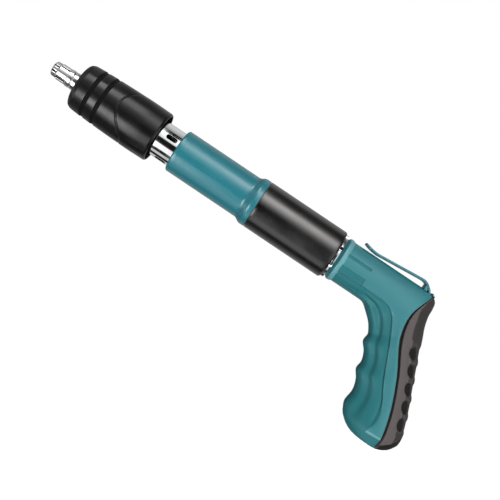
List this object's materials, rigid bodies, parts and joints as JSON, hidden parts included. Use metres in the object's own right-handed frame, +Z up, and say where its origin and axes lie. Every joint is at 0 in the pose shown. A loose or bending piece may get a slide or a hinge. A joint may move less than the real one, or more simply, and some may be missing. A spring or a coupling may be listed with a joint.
{
  "type": "hand-pushed rivet gun",
  "caption": "Hand-pushed rivet and nail gun with a spring striker, a sliding sleeved nozzle, a pistol grip and a belt clip.",
  "frame": {"origin": "centre of the grip's flat butt", "axes": "+X from the nozzle towards the back of the tool along the barrel, +Z up from the butt to the barrel, Y across"},
  "size_m": [0.386, 0.0432, 0.1307],
  "materials": {
    "chrome": "polished",
    "dark_steel": "oiled, turned",
    "spring_steel": "drawn wire",
    "bronze": "sintered",
    "aluminium": "turned",
    "teal_paint": "satin paint",
    "teal_plastic": "fine moulded texture",
    "black_nylon": "satin moulded",
    "black_metal": "satin black coating",
    "grey_rubber": "matte, soft"
  },
  "bodies": {
    "housing": {"outer_tube": "teal_paint", "front_bush": "bronze", "grip_tube": "black_metal", "receiver": "dark_steel", "return_spring": "spring_steel", "main_spring": "spring_steel", "spring_rod": "dark_steel", "rear_plug": "aluminium", "cross_pin": "dark_steel", "lock_ring": "chrome", "handle_left": "teal_plastic", "handle_right": "teal_plastic", "grip_rubber": "grey_rubber", "shell_screw_1": "dark_steel", "shell_screw_2": "dark_steel", "shell_screw_3": "dark_steel", "clip_pin": "dark_steel"},
    "front_end": {"nozzle": "chrome", "nozzle_ring": "chrome", "front_sleeve": "black_nylon", "sleeve_hub": "aluminium", "inner_tube": "chrome", "stop_collar": "dark_steel", "pin_guide": "bronze", "pin_spring": "spring_steel"},
    "pin": {"firing_pin": "dark_steel"},
    "striker": {"striker": "dark_steel", "sear_spring": "spring_steel"},
    "sear": {"sear": "dark_steel"},
    "clip": {"belt_clip": "teal_paint"}
  },
  "joints": [
    {"name": "nozzle_press", "type": "slide", "parent": "housing", "child": "front_end", "axis": [1, 0, 0], "range_m": [0, 0.024], "stiffness_N_per_m": 1500, "springref_m": -0.012, "deforming": ["return_spring"]},
    {"name": "striker_cock", "type": "slide", "parent": "housing", "child": "striker", "axis": [1, 0, 0], "range_m": [0, 0.024], "stiffness_N_per_m": 1500, "springref_m": -0.012, "deforming": ["main_spring"]},
    {"name": "pin_strike", "type": "slide", "parent": "front_end", "child": "pin", "axis": [-1, 0, 0], "range_m": [0, 0.005], "stiffness_N_per_m": 400, "springref_m": -0.006, "deforming": ["pin_spring"]},
    {"name": "sear_release", "type": "slide", "parent": "striker", "child": "sear", "axis": [0, 0, -1], "range_m": [0, 0.0012], "stiffness_N_per_m": 300, "springref_m": -0.002, "deforming": ["sear_spring"]},
    {"name": "clip_flex", "type": "hinge", "parent": "housing", "child": "clip", "pos_m": [-0.0205, 0, 0.1162], "axis": [0, 1, 0], "range_deg": [0, 5], "stiffness_Nm_per_rad": 8, "springref_deg": -1.15}
  ],
  "couplings": [
    {"joint": "striker_cock", "follows": "nozzle_press", "ratio": 1}
  ]
}
